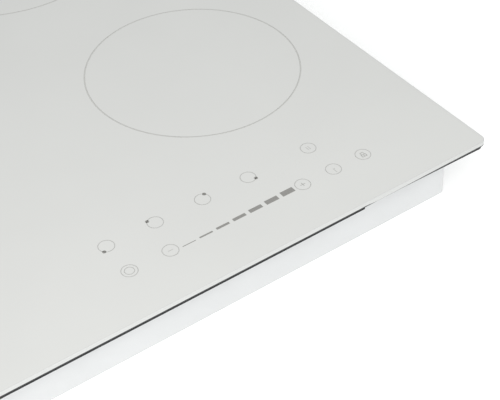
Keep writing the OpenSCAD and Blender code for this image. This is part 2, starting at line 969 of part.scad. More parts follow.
module ribbon_cable() {
    front = touch_front + touch_d;
    fall = front + 3;
    rear = board_rear - board_size[1] + 14;
    low = board_top + 4;
    top = touch_z + board_t;
    ribbon_t = 1;
    color("lightgray")
        translate([touch_right - 46, 0, 0])
            rotate([90, 0, 90])
                linear_extrude(20)
                    polygon([[front, top - ribbon_t], [front, top], [fall + ribbon_t, top],
                             [fall + ribbon_t, low], [rear + ribbon_t, low],
                             [rear + ribbon_t, board_top], [rear, board_top],
                             [rear, low - ribbon_t], [fall, low - ribbon_t],
                             [fall, top - ribbon_t]]);
}

// Clamps

module clamp() {
    half = arm_size[0] / 2;
    color("silver")
        difference() {
            union() {
                cylinder(r = half, h = arm_size[1]);
                block(-half, half, -arm_reach, 0, 0, arm_size[1]);
                block(-half, half, -arm_reach, -arm_reach + tip_l, arm_size[1] - 1,
                      arm_size[1] + tip_h);
            }
            translate([0, 0, -1])
                cylinder(r = clamp_screw_r + running_gap, h = arm_size[1] + 2);
        }
}

module placed_clamp(left, front) {
    mirror([left, 0, 0])
        mirror([0, front, 0])
            translate([pivot_x, pivot_y, arm_z])
                clamp();
}

module clamp_screws() {
    color("silver")
        at_clamps()
            difference() {
                union() {
                    translate([0, 0, arm_z - running_gap - head_t])
                        cylinder(r = 4.5, h = head_t);
                    translate([0, 0, arm_z - running_gap])
                        cylinder(r = clamp_screw_r, h = pocket_h + sheet_t + 4 - arm_z);
                }
                translate([0, 0, arm_z - running_gap - head_t - 1])
                    cylinder(r = 2, h = 2, $fn = 6);
            }
}

glass_top();
glass_adhesive();
seal_tape();
support_frame();
housing();
housing_screws();
cable_bush();
terminal_box();
terminal_lid();
lid_pin();
terminal_block();
terminal_screws();
coil_former(zones[0]);  // coil_former_front_left
coil_former(zones[1]);  // coil_former_rear_left
coil_former(zones[2]);  // coil_former_front_right
coil_former(zones[3]);  // coil_former_rear_right
winding(zones[0]);  // winding_front_left
winding(zones[1]);  // winding_rear_left
winding(zones[2]);  // winding_front_right
winding(zones[3]);  // winding_rear_right
ferrites(zones[0]);  // ferrites_front_left
ferrites(zones[1]);  // ferrites_rear_left
ferrites(zones[2]);  // ferrites_front_right
ferrites(zones[3]);  // ferrites_rear_right
insulation(zones[0]);  // insulation_front_left
insulation(zones[1]);  // insulation_rear_left
insulation(zones[2]);  // insulation_front_right
insulation(zones[3]);  // insulation_rear_right
zone_sensors();
tray(-tray_side, -tray_side + tray_left_w, left_post_xs, [zones[0], zones[1]]);  // coil_tray_left
tray(tray_side - tray_right_w, tray_side, right_post_xs, [zones[2], zones[3]]);  // coil_tray_right
tray_posts();
tray_springs();
power_board_left();
power_board_right();
heatsink(heatsink_left_x, 0);  // heatsink_left
heatsink(heatsink_right_x, 1);  // heatsink_right
transistors();
capacitors();
chokes();
filter_board();
filter_parts();
board_screws();
fan_frame(fan_left_x, 0);  // fan_frame_left
fan_frame(fan_right_x, 1);  // fan_frame_right
fan_impeller(fan_left_x);  // fan_impeller_left
fan_impeller(fan_right_x);  // fan_impeller_right
air_ducts();
coil_leads();
touch_carrier();
touch_board();
touch_springs();
touch_lights();
buzzer();
ribbon_cable();
placed_clamp(1, 1);  // clamp_front_left
placed_clamp(1, 0);  // clamp_rear_left
placed_clamp(0, 1);  // clamp_front_right
placed_clamp(0, 0);  // clamp_rear_right
clamp_screws();
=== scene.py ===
# Built-in induction cooktop: white glass with printed zones over a shallow white housing, in metres
import json
from math import cos, pi, radians, sin
from random import Random

import bmesh
import bpy
from mathutils import Matrix, Vector
from mathutils.bvhtree import BVHTree


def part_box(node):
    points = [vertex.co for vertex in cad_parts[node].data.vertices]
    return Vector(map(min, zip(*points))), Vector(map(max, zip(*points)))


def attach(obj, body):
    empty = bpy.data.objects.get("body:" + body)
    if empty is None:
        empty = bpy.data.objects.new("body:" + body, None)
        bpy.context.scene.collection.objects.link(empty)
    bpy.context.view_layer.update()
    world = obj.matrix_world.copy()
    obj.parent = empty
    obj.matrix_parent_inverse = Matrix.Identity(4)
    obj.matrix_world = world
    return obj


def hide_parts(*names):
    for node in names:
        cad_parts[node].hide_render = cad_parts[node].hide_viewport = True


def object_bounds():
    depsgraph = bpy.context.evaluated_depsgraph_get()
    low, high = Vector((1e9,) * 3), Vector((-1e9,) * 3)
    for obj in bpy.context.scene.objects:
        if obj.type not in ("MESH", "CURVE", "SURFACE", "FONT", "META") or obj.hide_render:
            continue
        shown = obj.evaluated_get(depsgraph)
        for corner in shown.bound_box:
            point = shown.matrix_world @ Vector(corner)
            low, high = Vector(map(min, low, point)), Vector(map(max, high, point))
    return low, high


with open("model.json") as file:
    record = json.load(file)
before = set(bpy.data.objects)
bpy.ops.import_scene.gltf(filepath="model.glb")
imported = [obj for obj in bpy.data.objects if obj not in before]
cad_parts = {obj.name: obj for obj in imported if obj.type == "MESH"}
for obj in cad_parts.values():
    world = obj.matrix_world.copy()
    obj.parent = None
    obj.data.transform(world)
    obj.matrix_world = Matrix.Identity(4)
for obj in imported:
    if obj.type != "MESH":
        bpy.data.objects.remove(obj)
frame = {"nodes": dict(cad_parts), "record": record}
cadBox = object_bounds()
mm = 0.001
root = "cooktop"
mergeGap = 0.002 * mm                # corners of the frame's loose triangles nearer than this are one
zones = ["front_left", "rear_left", "front_right", "rear_right"]
glassLow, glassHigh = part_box("glass_top")
print("frame loaded:", len(frame["nodes"]), "nodes")


# Camera, floor and light

cameraLook = {
    "azimuth": -34.272,
    "elevation": 41.4935,
    "roll": -2.0255,
    "lens": 96.048,
    "distance": 0.79506,
    "target": (0.14379, -0.21648),
    "sensor": 36,
    "near": 0.01,
}


def buildCamera(look):
    azimuth, elevation, roll = [radians(look[key]) for key in ("azimuth", "elevation", "roll")]
    back = Vector((sin(azimuth) * cos(elevation), -cos(azimuth) * cos(elevation), sin(elevation)))
    level = Vector((cos(azimuth), sin(azimuth), 0))
    above = back.cross(level)
    right = level * cos(roll) + above * sin(roll)
    up = above * cos(roll) - level * sin(roll)
    turned = Matrix((right, up, back)).transposed().to_4x4()
    turned.translation = Vector((*look["target"], glassHigh.z)) + back * look["distance"]
    data = bpy.data.cameras.new("camera")
    data.lens = look["lens"]
    data.sensor_width = look["sensor"]
    data.clip_start = look["near"]
    camera = bpy.data.objects.new("camera", data)
    camera.matrix_world = turned
    bpy.context.collection.objects.link(camera)
    bpy.context.scene.camera = camera


studio = {
    "floorSize": 14,
    "floorColour": (0.94, 0.945, 0.945, 1),
    "floorGlow": 0.22,
    "floorRough": 0.9,
    "floorShine": 0.1,
    "floorGap": 0.2 * mm,            # so that the floor and the housing's base don't share a plane
    "skyColour": (0.985, 1.0, 0.995, 1),
    "skyStrength": 0.69,
    "lampColour": (1.0, 0.985, 0.975),
    "lamps": [
        # name, place, aim, size, watts
        ("keyLamp", (-0.3, -0.95, 0.75), (0.0, -0.2, 0.0), 0.8, 7.0),
        ("fillLamp", (1.9, -0.6, 1.3), (0.1, -0.1, 0.0), 1.4, 2.5),
    ],
}


def buildStudio(look):
    scene = bpy.context.scene
    scene.view_settings.view_transform = "Standard"
    world = bpy.data.worlds.new("studio")
    world.use_nodes = True
    sky = world.node_tree.nodes["Background"]
    sky.inputs["Color"].default_value = look["skyColour"]
    sky.inputs["Strength"].default_value = look["skyStrength"]
    scene.world = world
    for name, place, aim, size, watts in look["lamps"]:
        data = bpy.data.lights.new(name, "AREA")
        data.size = size
        data.energy = watts
        data.color = look["lampColour"]
        lamp = bpy.data.objects.new(name, data)
        lamp.location = place
        lamp.rotation_euler = (Vector(aim) - Vector(place)).to_track_quat("-Z", "Y").to_euler()
        bpy.context.collection.objects.link(lamp)
    half = look["floorSize"] / 2
    mesh = bpy.data.meshes.new("floor")
    mesh.from_pydata([(-half, -half, 0), (half, -half, 0), (half, half, 0), (-half, half, 0)],
                     [], [(0, 1, 2, 3)])
    floor = bpy.data.objects.new("floor", mesh)
    floor.location.z = cadBox[0].z - look["floorGap"]
    material = bpy.data.materials.new("paleFloor")
    material.use_nodes = True
    shader = material.node_tree.nodes["Principled BSDF"]
    shader.inputs["Base Color"].default_value = look["floorColour"]
    shader.inputs["Roughness"].default_value = look["floorRough"]
    shader.inputs["Specular IOR Level"].default_value = look["floorShine"]
    shader.inputs["Emission Color"].default_value = (1, 1, 1, 1)
    shader.inputs["Emission Strength"].default_value = look["floorGlow"]
    mesh.materials.append(material)
    bpy.context.collection.objects.link(floor)


buildCamera(cameraLook)
buildStudio(studio)
print("camera, floor and light ready")


# Node helpers for the finishes and for Geometry Nodes

def addNode(tree, kind, inputs=None, **settings):
    node = tree.nodes.new(kind)
    for key, value in settings.items():
        setattr(node, key, value)
    for key, value in (inputs or {}).items():
        socket = node.inputs[key]
        if isinstance(value, bpy.types.NodeSocket):
            tree.links.new(value, socket)
        else:
            socket.default_value = value
    return node


def objectPlace(tree):
    return addNode(tree, "ShaderNodeTexCoord").outputs["Object"]


def grain(tree, scale, detail=3.0, stretch=(1, 1, 1)):
    placed = addNode(tree, "ShaderNodeMapping", {"Vector": objectPlace(tree), "Scale": stretch})
    texture = addNode(tree, "ShaderNodeTexNoise", {
        "Vector": placed.outputs["Vector"], "Scale": scale, "Detail": detail})
    return texture.outputs["Fac"]


def cells(tree, scale):
    return addNode(tree, "ShaderNodeTexVoronoi", {"Vector": objectPlace(tree), "Scale": scale}).outputs


def maths(tree, operation, *values):
    return addNode(tree, "ShaderNodeMath", dict(enumerate(values)), operation=operation).outputs[0]


def spread(tree, factor, low, high, start=0.3, end=0.7):    # noise mostly lies between 0.3 and 0.7
    node = addNode(tree, "ShaderNodeMapRange", {
        "Value": factor, "From Min": start, "From Max": end, "To Min": low, "To Max": high})
    return node.outputs["Result"]


def blendColours(tree, factor, first, second, **settings):
    # a colour mix has its two colours in sockets 6 and 7 and its result in output 2
    return addNode(tree, "ShaderNodeMix", {"Factor": factor, 6: first, 7: second},
                   data_type="RGBA", **settings).outputs[2]


def shaded(colour, amount):
    return tuple(min(1, c * amount) for c in colour[:3]) + (1,)


# One finish per material slot; colours are linear, lengths in metres
finishes = {
    "white_glass": {"colour": (0.697, 0.701, 0.686), "shade": 0.012, "grain": 14, "rough": (0.13, 0.19),
                    "bump": (1600, 0.0000015), "coat": 0.5, "coatRough": 0.04},
    "silicone": {"colour": (0.10, 0.10, 0.10), "shade": 0.15, "grain": 120, "rough": (0.3, 0.45),
                 "bump": (700, 0.00004)},
    "seal_foam": {"colour": (0.02, 0.02, 0.021), "shade": 0.3, "grain": 900, "rough": (0.8, 0.95),
                  "bump": (1500, 0.00025), "pores": 1100},
    "plated_sheet": {"colour": (0.62, 0.64, 0.66), "shade": 0.12, "grain": 60, "rough": (0.26, 0.42),
                     "bump": (2600, 0.000006), "metal": 1.0, "spangle": 90},
    "white_sheet": {"colour": (0.690, 0.700, 0.706), "shade": 0.015, "grain": 30, "rough": (0.34, 0.44),
                    "bump": (750, 0.000028), "coat": 0.15, "coatRough": 0.3},
    "plated_steel": {"colour": (0.66, 0.67, 0.68), "shade": 0.16, "grain": 260, "rough": (0.22, 0.4),
                     "bump": (3000, 0.000008), "metal": 1.0},
    "spring_steel": {"colour": (0.56, 0.57, 0.59), "shade": 0.12, "grain": 700, "rough": (0.2, 0.34),
                     "bump": (4000, 0.000004), "metal": 1.0},
    "bush_rubber": {"colour": (0.035, 0.035, 0.036), "shade": 0.3, "grain": 300, "rough": (0.55, 0.75),
                    "bump": (2200, 0.00003)},
    "grey_plastic": {"colour": (0.57, 0.58, 0.58), "shade": 0.05, "grain": 80, "rough": (0.4, 0.55),
                     "bump": (2400, 0.00002)},
    "white_plastic": {"colour": (0.80, 0.78, 0.72), "shade": 0.04, "grain": 80, "rough": (0.35, 0.5),
                      "bump": (2400, 0.000015)},
    "black_plastic": {"colour": (0.035, 0.035, 0.037), "shade": 0.25, "grain": 400, "rough": (0.42, 0.6),
                      "bump": (2600, 0.00002)},
    "brass": {"colour": (0.78, 0.60, 0.30), "shade": 0.15, "grain": 300, "rough": (0.22, 0.38),
              "bump": (3000, 0.000008), "metal": 1.0},
    "copper": {"colour": (0.62, 0.27, 0.13), "shade": 0.25, "grain": 1300, "rough": (0.28, 0.42),
               "bump": (2600, 0.00006), "metal": 0.75, "coat": 0.4, "coatRough": 0.2},
    "ferrite": {"colour": (0.07, 0.07, 0.075), "shade": 0.3, "grain": 700, "rough": (0.5, 0.7),
                "bump": (1800, 0.00004)},
    "mica": {"colour": (0.58, 0.53, 0.40), "shade": 0.22, "grain": 160, "rough": (0.25, 0.5),
             "bump": (500, 0.00003), "spangle": 240},
    "ceramic": {"colour": (0.84, 0.81, 0.75), "shade": 0.05, "grain": 120, "rough": (0.12, 0.22),
                "bump": (900, 0.00001), "coat": 0.4, "coatRough": 0.08},
    "board_green": {"colour": (0.02, 0.15, 0.05), "shade": 0.2, "grain": 200, "rough": (0.25, 0.4),
                    "bump": (900, 0.00002), "coat": 0.3, "coatRough": 0.15},
    "bare_aluminium": {"colour": (0.72, 0.73, 0.74), "shade": 0.12, "grain": 900, "rough": (0.28, 0.42),
                       "bump": (1800, 0.00001), "metal": 1.0, "stretch": (1, 0.02, 1)},
    "blue_film": {"colour": (0.05, 0.12, 0.33), "shade": 0.1, "grain": 90, "rough": (0.25, 0.36),
                  "bump": (1200, 0.00002), "coat": 0.3, "coatRough": 0.1},
    "choke_wire": {"colour": (0.55, 0.24, 0.08), "shade": 0.15, "grain": 600, "rough": (0.25, 0.38),
                   "bump": (2600, 0.00001), "metal": 0.8, "coat": 0.5, "coatRough": 0.12},
    "yellow_film": {"colour": (0.66, 0.42, 0.04), "shade": 0.1, "grain": 90, "rough": (0.25, 0.36),
                    "bump": (1200, 0.00002), "coat": 0.3, "coatRough": 0.1},
    "lead_sleeve": {"colour": (0.30, 0.05, 0.03), "shade": 0.3, "grain": 900, "rough": (0.6, 0.8),
                    "bump": (1700, 0.00012)},
    "ribbon_plastic": {"colour": (0.55, 0.56, 0.58), "shade": 0.08, "grain": 120, "rough": (0.35, 0.5),
                       "bump": (900, 0.00001)},
    # finishes of the glass plate's own parts
    "backEnamel": {"colour": (0.52, 0.53, 0.53), "shade": 0.05, "grain": 200, "rough": (0.45, 0.6),
                   "bump": (1400, 0.00001)},
    "lineInk": {"colour": (0.565, 0.565, 0.545), "shade": 0.05, "grain": 900, "rough": (0.24, 0.34),
                "bump": (3000, 0.000004)},
    "keyInk": {"colour": (0.50, 0.50, 0.485), "shade": 0.06, "grain": 900, "rough": (0.24, 0.34),
               "bump": (3000, 0.000004)},
    "signInk": {"colour": (0.40, 0.40, 0.385), "shade": 0.06, "grain": 900, "rough": (0.24, 0.34),
                "bump": (3000, 0.000004)},
    "darkInk": {"colour": (0.31, 0.305, 0.29), "shade": 0.08, "grain": 900, "rough": (0.24, 0.34),
                "bump": (3000, 0.000004)},
    "barInk": {"colour": (0.285, 0.28, 0.268), "shade": 0.08, "grain": 900, "rough": (0.24, 0.34),
               "bump": (3000, 0.000004)},
}


finishHabits = {
    "roughFiner": 1.7,               # the cloud in the shine is this much finer than the one in the colour
    "facetTint": (0.84, 1.12),
    # painted shade: the bottom of each pore is coloured darker than the skin between pores
    "poreShadeTint": (0.45, 1.1),         # bottom of a pore, skin between pores
    "poreWall": (0.05, 0.45),        # where a pore's wall starts and ends, as a share of its cell
}


def newMaterial(name):
    material = bpy.data.materials.new(name)
    material.use_nodes = True
    return material, material.node_tree, material.node_tree.nodes["Principled BSDF"].inputs


def addRelief(tree, sockets, height, depth):
    relief = addNode(tree, "ShaderNodeBump", {"Height": height, "Distance": depth, "Strength": 1.0})
    tree.links.new(relief.outputs["Normal"], sockets["Normal"])


def makeFinish(name, look, habits=finishHabits):
    material, tree, sockets = newMaterial(name)
    plain, shade, stretch = look["colour"], look["shade"], look.get("stretch", (1, 1, 1))
    cloud = spread(tree, grain(tree, look["grain"], stretch=stretch), 0, 1)
    colour = blendColours(tree, cloud, shaded(plain, 1 - shade), shaded(plain, 1 + shade))
    bumpScale, bumpDepth = look["bump"]
    height = grain(tree, bumpScale, 2.0, stretch)
    if "spangle" in look:   # crystal facets of hot-dip zinc, or flakes of mica
        tint = spread(tree, cells(tree, look["spangle"])["Color"], *habits["facetTint"], 0, 1)
        colour = blendColours(tree, 1.0, colour, tint, blend_type="MULTIPLY")
    if "pores" in look:     # open cells of a foam
        pore = spread(tree, cells(tree, look["pores"])["Distance"], 0, 1, *habits["poreWall"])
        height = maths(tree, "MULTIPLY", height, pore)
        # painted shade in the pores' hollows: the colour darkens towards each pore's bottom
        colour = blendColours(tree, pore, *[shaded(plain, tint) for tint in habits["poreShadeTint"]])
    tree.links.new(colour, sockets["Base Color"])
    finer = grain(tree, look["grain"] * habits["roughFiner"], stretch=stretch)
    tree.links.new(spread(tree, finer, *look["rough"]), sockets["Roughness"])
    addRelief(tree, sockets, height, bumpDepth)
    sockets["Metallic"].default_value = look.get("metal", 0.0)
    sockets["Coat Weight"].default_value = look.get("coat", 0.0)
    sockets["Coat Roughness"].default_value = look.get("coatRough", 0.1)
    return material


# Ground edge of the glass: white above, with a dark strip of painted shade along its lower part, standing
# in for the shade and dark reflection at the glass's lower edge
edgeLook = {
    "white": (0.597, 0.605, 0.597, 1),
    # painted shade: colour of the dark strip along the edge's lower part
    "dark": (0.012, 0.012, 0.013, 1),
    "strip": 1.12 * mm,
    "soft": 0.12 * mm,
    "wave": 0.06 * mm,
    "waveScale": 45,
    # painted highlight: near the front right corner the painted shade strip thins where glare lies on the
    # edge; how far along the front from the left, and how much of the strip is left there
    "highlightThinning": [(0.0, 1.0), (0.836, 1.0), (0.845, 0.6), (0.85, 0.36), (0.864, 0.45), (0.885, 0.6),
                 (0.907, 0.76), (0.92, 0.86), (0.941, 0.94), (0.97, 1.0)],
    "highlightThinningDepth": (4 * mm, 8 * mm),    # from the front edge: thinned up to here, whole from there
    "shade": 0.04,
    "grain": 1400,
    "bump": 0.006 * mm,
    "shine": 0.3,
    "rough": (0.24, 0.4),
}


def makeEdgeAndPaintedShade(look):
    material, tree, sockets = newMaterial("groundEdgeAndPaintedShade")
    part = addNode(tree, "ShaderNodeSeparateXYZ", {"Vector": objectPlace(tree)}).outputs
    along = spread(tree, part["X"], 0, 1, glassLow.x, glassHigh.x)
    # painted highlight: along the front, the strip thins towards the right corner
    ramp = addNode(tree, "ShaderNodeValToRGB", {"Fac": along})
    stops = ramp.color_ramp.elements
    for position, share in look["highlightThinning"][2:]:
        stops.new(position)
    for stop, (position, share) in zip(stops, look["highlightThinning"]):
        stop.position = position
        stop.color = (share, share, share, 1)
    # only the front edge takes the painted highlight; the other edges keep the whole strip
    atFront = spread(tree, part["Y"], 1, 0, *[glassLow.y + depth for depth in look["highlightThinningDepth"]])
    shadeLeftByHighlight = addNode(tree, "ShaderNodeMix", {"Factor": atFront, 2: 1.0, 3: ramp.outputs["Color"]})
    wave = spread(tree, grain(tree, look["waveScale"], 2.0), -look["wave"], look["wave"], 0, 1)
    limit = maths(tree, "MULTIPLY_ADD", shadeLeftByHighlight.outputs[0], look["strip"], wave)
    below = maths(tree, "SUBTRACT", limit, maths(tree, "SUBTRACT", part["Z"], glassLow.z))
    # painted shade: the edge is coloured dark below the strip's top
    inPaintedShade = spread(tree, below, 0, 1, -look["soft"] / 2, look["soft"] / 2)
    speckle = grain(tree, look["grain"], 2.0)
    white = blendColours(tree, speckle, shaded(look["white"], 1 - look["shade"]),
                         shaded(look["white"], 1 + look["shade"]))
    tree.links.new(blendColours(tree, inPaintedShade, white, look["dark"]), sockets["Base Color"])
    sockets["Specular IOR Level"].default_value = look["shine"]
    tree.links.new(spread(tree, speckle, *look["rough"]), sockets["Roughness"])
    addRelief(tree, sockets, speckle, look["bump"])
    return material


materials = {name: makeFinish(name, look) for name, look in finishes.items()}
# the glass edge's finish carries the painted shade strip
materials["groundEdgeAndPaintedShade"] = makeEdgeAndPaintedShade(edgeLook)
print("finishes ready:", len(materials))


# Mesh helpers

def addPiece(name, mesh, body, slotName, *stoodFor):
    piece = bpy.data.objects.new(name, mesh)
    bpy.context.collection.objects.link(piece)
    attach(piece, body)
    if stoodFor:
        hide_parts(*stoodFor)


def pieceName(node):
    first, *rest = node.split("_")
    return first + "".join(word.capitalize() for word in rest or ["shape"])


def meshFrom(name, bm, finish):
    mesh = bpy.data.meshes.new(name)
    bm.to_mesh(mesh)
    bm.free()
    mesh.materials.append(materials[finish])
    return mesh


def roundedLoop(halfX, halfY, radius, steps):
    points = []
    for cornerX, cornerY, start in ((1, 1, 0), (-1, 1, 90), (-1, -1, 180), (1, -1, 270)):
        for i in range(steps + 1):
            angle = radians(start + 90 * i / steps)
            points.append((cornerX * (halfX - radius) + radius * cos(angle),
                           cornerY * (halfY - radius) + radius * sin(angle)))
    return points


def smoothByAngle(mesh, degrees):
    mesh.shade_smooth()
    mesh.set_sharp_from_angle(angle=radians(degrees))


# Glass plate with ground arrises

glassLook = {
    "cornerRadius": 5 * mm,
    "cornerSteps": 16,
    "arris": 0.6 * mm,
    "arrisSteps": 4,
    "smoothAngle": 24,
    "printDepth": 0.05 * mm,
}


def buildGlass(look):
    halfX, halfY = (glassHigh.x - glassLow.x) / 2, (glassHigh.y - glassLow.y) / 2
    top = glassHigh.z - look["printDepth"]
    arris, steps = look["arris"], look["arrisSteps"]
    turns = [radians(90 * i / steps) for i in range(steps + 1)]
    rows = [(arris * (1 - sin(turn)), glassLow.z + arris * (1 - cos(turn))) for turn in turns]
    rows += [(arris * (1 - cos(turn)), top - arris * (1 - sin(turn))) for turn in turns]
    bm = bmesh.new()
    loops = []
    for inset, height in rows:
        outline = roundedLoop(halfX - inset, halfY - inset, look["cornerRadius"] - inset,
                              look["cornerSteps"])
        loops.append([bm.verts.new((x, y, height)) for x, y in outline])
    for low, high in zip(loops, loops[1:]):
        for i in range(len(low)):
            bm.faces.new((low[i - 1], low[i], high[i], high[i - 1])).material_index = 1
    bm.faces.new(loops[-1])
    bm.faces.new(reversed(loops[0])).material_index = 2
    mesh = meshFrom("glassPlate", bm, "white_glass")
    for name in ("groundEdgeAndPaintedShade", "backEnamel"):
        mesh.materials.append(materials[name])
    smoothByAngle(mesh, look["smoothAngle"])
    addPiece("glassPlate", mesh, root, "white_glass", "glass_top")


buildGlass(glassLook)
print("glass plate made")


# Geometry Nodes: each tree is baked to a plain mesh

def newTree(name, **inputs):
    tree = bpy.data.node_groups.new(name, "GeometryNodeTree")
    tree.interface.new_socket(name="Geometry", in_out="INPUT", socket_type="NodeSocketGeometry")
    for label, value in inputs.items():
        kind = {int: "Int", float: "Float"}.get(type(value), "Material")
        socket = tree.interface.new_socket(name=label, in_out="INPUT", socket_type="NodeSocket" + kind)
        if value is not None:
            socket.default_value = value
    tree.interface.new_socket(name="Geometry", in_out="OUTPUT", socket_type="NodeSocketGeometry")
    return tree, addNode(tree, "NodeGroupInput").outputs


def copiesOn(tree, points, thing, **placing):
    copies = addNode(tree, "GeometryNodeInstanceOnPoints", {"Points": points, "Instance": thing, **placing})
    return addNode(tree, "GeometryNodeRealizeInstances", {"Geometry": copies.outputs[0]}).outputs[0]


def closeTree(tree, geometry, finish, smooth=False):
    if smooth:
        geometry = addNode(tree, "GeometryNodeSetShadeSmooth", {"Geometry": geometry}).outputs[0]
    painted = addNode(tree, "GeometryNodeSetMaterial", {"Geometry": geometry, "Material": finish})
    addNode(tree, "NodeGroupOutput", {"Geometry": painted.outputs[0]})
    return tree


def bakeTree(name, tree, points, **values):
    mesh = bpy.data.meshes.new(name + "Points")
    mesh.from_pydata(points, [], [])
    holder = bpy.data.objects.new(name + "Holder", mesh)
    bpy.context.collection.objects.link(holder)
    modifier = holder.modifiers.new("make", "NODES")
    modifier.node_group = tree
    for item in tree.interface.items_tree:
        if item.in_out == "INPUT" and item.name in values:
            modifier[item.identifier] = values[item.name]
    graph = bpy.context.evaluated_depsgraph_get()
    baked = bpy.data.meshes.new_from_object(holder.evaluated_get(graph), depsgraph=graph,
                                            preserve_all_data_layers=True)
    holder.modifiers.remove(modifier)
    bpy.data.objects.remove(holder)
    baked.name = name
    return baked


def ringTree():
    tree, given = newTree("printedRing", Radius=0.01, Line=0.001, Thick=0.00005, Steps=96, Ink=None)
    circle = addNode(tree, "GeometryNodeCurvePrimitiveCircle", {
        "Resolution": given["Steps"], "Radius": given["Radius"]})
    upright = addNode(tree, "GeometryNodeSetCurveNormal", {"Curve": circle.outputs["Curve"]},
                      mode="Z_UP")
    section = addNode(tree, "GeometryNodeCurvePrimitiveQuadrilateral", {
        "Width": given["Line"], "Height": given["Thick"]})
    ring = addNode(tree, "GeometryNodeCurveToMesh", {
        "Curve": upright.outputs["Curve"], "Profile Curve": section.outputs["Curve"]})
    return closeTree(tree, copiesOn(tree, given["Geometry"], ring.outputs["Mesh"]), given["Ink"])


def dotTree():
    tree, given = newTree("printedDot", Radius=0.001, Thick=0.00005, Steps=32, Ink=None)
    dot = addNode(tree, "GeometryNodeMeshCylinder", {
        "Vertices": given["Steps"], "Radius": given["Radius"], "Depth": given["Thick"]})
    return closeTree(tree, copiesOn(tree, given["Geometry"], dot.outputs["Mesh"]), given["Ink"])


def barTree():
    tree, given = newTree("powerBars", Count=7, Pitch=0.012, Length=0.009, Thin=0.0005, Deep=0.004,
                          Thick=0.00005, Ink=None)
    step = addNode(tree, "ShaderNodeCombineXYZ", {"X": given["Pitch"]})
    line = addNode(tree, "GeometryNodeMeshLine", {
        "Count": given["Count"], "Offset": step.outputs["Vector"]}, mode="OFFSET")
    order = addNode(tree, "GeometryNodeInputIndex").outputs["Index"]
    last = maths(tree, "SUBTRACT", given["Count"], 1.0)
    depth = addNode(tree, "ShaderNodeMapRange", {
        "Value": order, "From Max": last, "To Min": given["Thin"], "To Max": given["Deep"]}).outputs[0]
    shift = addNode(tree, "ShaderNodeCombineXYZ", {"Y": maths(tree, "MULTIPLY", depth, 0.5)})
    moved = addNode(tree, "GeometryNodeSetPosition", {
        "Geometry": line.outputs["Mesh"], "Offset": shift.outputs["Vector"]})
    size = addNode(tree, "ShaderNodeCombineXYZ", {"X": given["Length"], "Y": 1.0, "Z": given["Thick"]})
    bar = addNode(tree, "GeometryNodeMeshCube", {"Size": size.outputs["Vector"]})
    scale = addNode(tree, "ShaderNodeCombineXYZ", {"X": 1.0, "Y": depth, "Z": 1.0})
    row = copiesOn(tree, moved.outputs["Geometry"], bar.outputs["Mesh"], Scale=scale.outputs["Vector"])
    return closeTree(tree, copiesOn(tree, given["Geometry"], row), given["Ink"])


def coilTree():
    tree, given = newTree("wireCoil", Turns=5.0, Start=0.004, End=0.004, Height=0.008, Wire=0.0004,
                          Steps=24, Sides=8, Metal=None)
    spiral = addNode(tree, "GeometryNodeCurveSpiral", {
        "Resolution": given["Steps"], "Rotations": given["Turns"], "Start Radius": given["Start"],
        "End Radius": given["End"], "Height": given["Height"]})
    section = addNode(tree, "GeometryNodeCurvePrimitiveCircle", {
        "Resolution": given["Sides"], "Radius": given["Wire"]})
    wire = addNode(tree, "GeometryNodeCurveToMesh", {
        "Curve": spiral.outputs["Curve"], "Profile Curve": section.outputs["Curve"], "Fill Caps": True})
    return closeTree(tree, copiesOn(tree, given["Geometry"], wire.outputs["Mesh"]), given["Metal"],
                     smooth=True)


def woundRingTree():
    tree, given = newTree("woundRing", Turns=22, Ring=0.01, Loop=0.004, Wire=0.00045, Steps=16, Sides=6,
                          Metal=None)
    loop = addNode(tree, "GeometryNodeCurvePrimitiveCircle", {
        "Resolution": given["Steps"], "Radius": given["Loop"]})
    section = addNode(tree, "GeometryNodeCurvePrimitiveCircle", {
        "Resolution": given["Sides"], "Radius": given["Wire"]})
    wire = addNode(tree, "GeometryNodeCurveToMesh", {
        "Curve": loop.outputs["Curve"], "Profile Curve": section.outputs["Curve"]})
    ring = addNode(tree, "GeometryNodeCurvePrimitiveCircle", {
        "Resolution": given["Turns"], "Radius": given["Ring"]})
    stations = addNode(tree, "GeometryNodeCurveToPoints", {"Curve": ring.outputs["Curve"]},
                       mode="EVALUATED")
    wound = copiesOn(tree, stations.outputs["Points"], wire.outputs["Mesh"],
                     Rotation=stations.outputs["Rotation"])
    return closeTree(tree, copiesOn(tree, given["Geometry"], wound), given["Metal"], smooth=True)


def chipTree():
    tree, given = newTree("solderedChip", Length=0.002, Width=0.0012, Height=0.0006, Copies=1, Apart=0.0,
                          Smallest=0.7, Largest=1.3, Seed=5, Finish=None)
    size = addNode(tree, "ShaderNodeCombineXYZ", {
        "X": given["Length"], "Y": given["Width"], "Z": given["Height"]})
    block = addNode(tree, "GeometryNodeMeshCube", {"Size": size.outputs["Vector"]})
    first = addNode(tree, "ShaderNodeCombineXYZ", {"X": maths(tree, "MULTIPLY", given["Apart"], -0.5)})
    step = addNode(tree, "ShaderNodeCombineXYZ", {"X": given["Apart"]})
    pair = addNode(tree, "GeometryNodeMeshLine", {
        "Count": given["Copies"], "Start Location": first.outputs["Vector"],
        "Offset": step.outputs["Vector"]}, mode="OFFSET")
    chip = copiesOn(tree, pair.outputs["Mesh"], block.outputs["Mesh"])
    # a random value has its limits in sockets 4 and 5 for whole numbers, 2 and 3 for others
    quarter = addNode(tree, "FunctionNodeRandomValue", {4: 0, 5: 1, "Seed": given["Seed"]},
                      data_type="INT").outputs[2]
    turn = addNode(tree, "ShaderNodeCombineXYZ", {"Z": maths(tree, "MULTIPLY", quarter, pi / 2)})
    scale = addNode(tree, "FunctionNodeRandomValue", {
        2: given["Smallest"], 3: given["Largest"], "Seed": given["Seed"]}, data_type="FLOAT").outputs[1]
    placed = copiesOn(tree, given["Geometry"], chip, Rotation=turn.outputs["Vector"], Scale=scale)
    return closeTree(tree, placed, given["Finish"])


ringMaker, dotMaker, barMaker, coilMaker = ringTree(), dotTree(), barTree(), coilTree()
woundRingMaker, chipMaker = woundRingTree(), chipTree()


# Printing on the glass; places are distances from the right and the front edge

